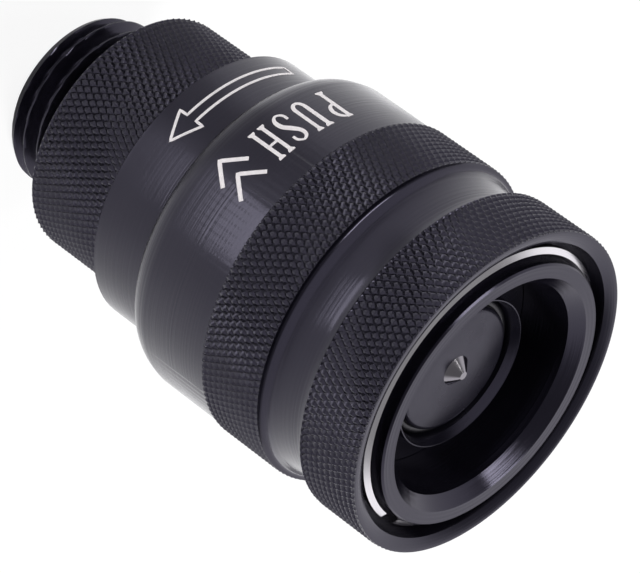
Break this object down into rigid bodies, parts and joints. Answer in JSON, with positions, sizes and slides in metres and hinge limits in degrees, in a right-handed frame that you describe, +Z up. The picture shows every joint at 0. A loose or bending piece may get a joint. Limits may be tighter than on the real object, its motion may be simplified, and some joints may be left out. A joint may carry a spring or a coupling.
{
  "type": "liquid cooling quick coupling",
  "caption": "Socket half of a liquid cooling quick coupling: knurled push sleeve, flat-face valve, locking balls and a male pipe thread.",
  "frame": {"origin": "centre of the threaded end's face, which is the lowest face", "axes": "+Z up the coupling's axis, from the threaded end to the mouth; +X towards the opening of the retaining ring"},
  "size_m": [0.0244, 0.0244, 0.0403],
  "materials": {
    "black_adapter": "satin black plating on turned brass, knurled collar",
    "black_body": "satin black plating on turned brass",
    "black_sleeve": "satin black plating on turned brass, knurled grips",
    "black_valve": "fine-turned black plating",
    "seal_rubber": "glossy black seal rubber",
    "ring_steel": "bright spring steel",
    "spring_steel": "drawn stainless wire",
    "plain_steel": "plain stainless steel",
    "ball_steel": "polished ball steel"
  },
  "bodies": {
    "housing": {"rear_adapter": "black_adapter", "thread_o_ring": "seal_rubber", "body_o_ring": "seal_rubber", "socket_body": "black_body", "retaining_ring": "ring_steel", "sleeve_spring": "spring_steel", "valve_stem": "black_valve", "stem_o_ring": "seal_rubber", "stem_spider": "plain_steel", "stem_nut": "plain_steel", "valve_spring": "spring_steel"},
    "release": {"release_sleeve": "black_sleeve"},
    "valve": {"valve_sleeve": "black_valve", "valve_sleeve_o_ring": "seal_rubber"},
    "ball_1": {"locking_ball_1": "ball_steel"},
    "ball_2": {"locking_ball_2": "ball_steel"},
    "ball_3": {"locking_ball_3": "ball_steel"},
    "ball_4": {"locking_ball_4": "ball_steel"},
    "ball_5": {"locking_ball_5": "ball_steel"},
    "ball_6": {"locking_ball_6": "ball_steel"}
  },
  "joints": [
    {"name": "release_slide", "type": "slide", "parent": "housing", "child": "release", "axis": [0, 0, -1], "range_m": [0, 0.0016], "stiffness_N_per_m": 1500, "springref_m": -0.004, "deforming": ["sleeve_spring"]},
    {"name": "valve_slide", "type": "slide", "parent": "housing", "child": "valve", "axis": [0, 0, -1], "range_m": [0, 0.005], "stiffness_N_per_m": 800, "springref_m": -0.004, "deforming": ["valve_spring"]},
    {"name": "ball_1_lift", "type": "slide", "parent": "housing", "child": "ball_1", "axis": [0.5, 0.866, 0], "range_m": [0, 0.00015]},
    {"name": "ball_2_lift", "type": "slide", "parent": "housing", "child": "ball_2", "axis": [-0.5, 0.866, 0], "range_m": [0, 0.00015]},
    {"name": "ball_3_lift", "type": "slide", "parent": "housing", "child": "ball_3", "axis": [-1, 0, 0], "range_m": [0, 0.00015]},
    {"name": "ball_4_lift", "type": "slide", "parent": "housing", "child": "ball_4", "axis": [-0.5, -0.866, 0], "range_m": [0, 0.00015]},
    {"name": "ball_5_lift", "type": "slide", "parent": "housing", "child": "ball_5", "axis": [0.5, -0.866, 0], "range_m": [0, 0.00015]},
    {"name": "ball_6_lift", "type": "slide", "parent": "housing", "child": "ball_6", "axis": [1, 0, 0], "range_m": [0, 0.00015]}
  ],
  "couplings": [
    {"joint": "ball_1_lift", "follows": "release_slide", "ratio": 0.093749},
    {"joint": "ball_2_lift", "follows": "release_slide", "ratio": 0.093749},
    {"joint": "ball_3_lift", "follows": "release_slide", "ratio": 0.093749},
    {"joint": "ball_4_lift", "follows": "release_slide", "ratio": 0.093749},
    {"joint": "ball_5_lift", "follows": "release_slide", "ratio": 0.093749},
    {"joint": "ball_6_lift", "follows": "release_slide", "ratio": 0.093749}
  ]
}
